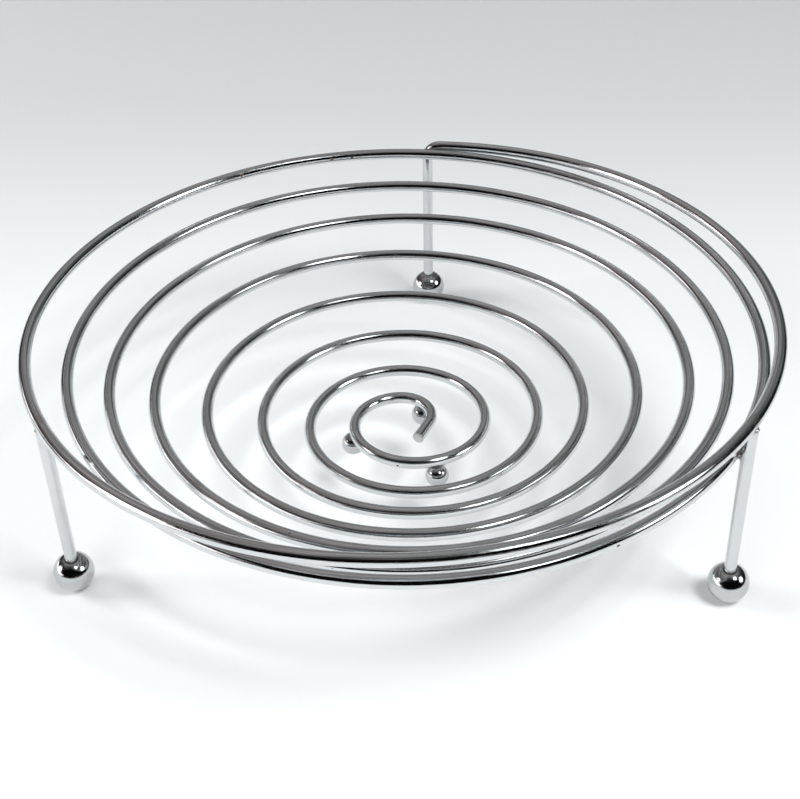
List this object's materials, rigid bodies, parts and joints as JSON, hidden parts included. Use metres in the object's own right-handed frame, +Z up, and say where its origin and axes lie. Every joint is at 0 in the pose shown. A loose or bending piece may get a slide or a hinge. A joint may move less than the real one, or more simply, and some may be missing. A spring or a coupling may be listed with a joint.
{
  "type": "spiral wire cooling rack",
  "caption": "Shallow spiral wire bowl on three ball-footed legs, for cooling and serving bread; the outer end of the coil turns down to make the back leg.",
  "frame": {"origin": "on the table under the middle of the spiral, where the spiral's axis meets the plane that the ball feet stand on", "axes": "+Z up along the axis of the spiral; the leg that the coil turns down into stands towards +Y, 3 degrees to its right; +X to the right seen from the side of the two welded legs"},
  "size_m": [0.2938, 0.3004, 0.0964],
  "materials": {
    "wire_chrome": "bright chrome plate on drawn steel wire, fine draw lines, a few pits",
    "ball_chrome": "bright mirror chrome plate on steel balls",
    "weld_metal": "chrome-plated weld beads, slightly dull and uneven"
  },
  "bodies": {
    "root": {"spiral_wire": "wire_chrome", "left_leg": "wire_chrome", "left_foot_ball": "ball_chrome", "left_leg_weld": "weld_metal", "right_leg": "wire_chrome", "right_foot_ball": "ball_chrome", "right_leg_weld": "weld_metal", "right_turn_weld": "weld_metal", "back_foot_ball": "ball_chrome", "back_leg_weld": "weld_metal", "left_stud_ball": "ball_chrome", "front_stud_ball": "ball_chrome", "back_stud_ball": "ball_chrome"}
  },
  "joints": []
}
